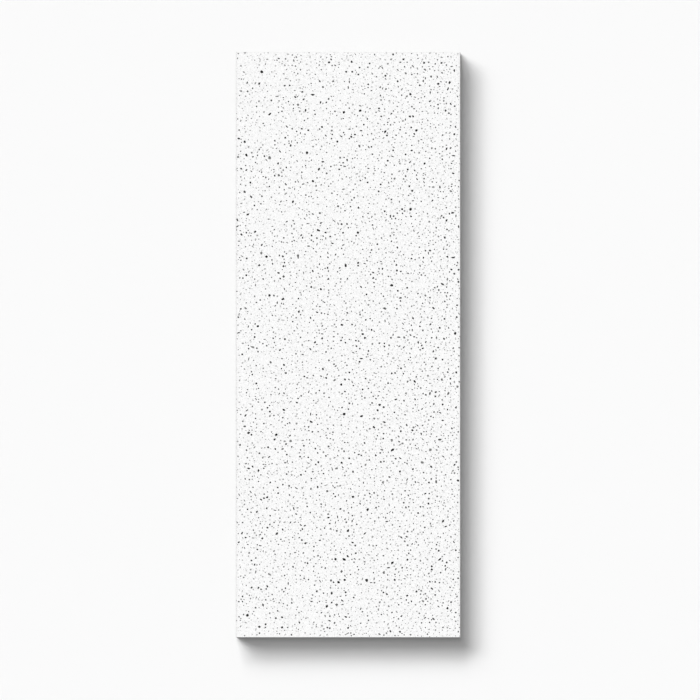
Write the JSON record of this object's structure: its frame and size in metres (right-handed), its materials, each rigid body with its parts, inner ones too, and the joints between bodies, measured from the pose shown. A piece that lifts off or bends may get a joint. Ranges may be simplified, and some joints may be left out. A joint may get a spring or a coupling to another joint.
{
  "type": "decorative wall panel",
  "caption": "Tall flat rectangular wall panel with plain square sides, an eased face and dark flecks scattered over white.",
  "frame": {"origin": "centre of the board's back", "axes": "+X across the board, +Y up the wall, +Z out of the decorative face; it lies on its back"},
  "size_m": [0.46, 1.2, 0.015],
  "materials": {
    "white_board": "satin",
    "black_fleck": "satin",
    "grey_fleck": "satin"
  },
  "bodies": {
    "root": {"panel": "white_board", "black_flecks": "black_fleck", "grey_flecks": "grey_fleck"}
  },
  "joints": []
}
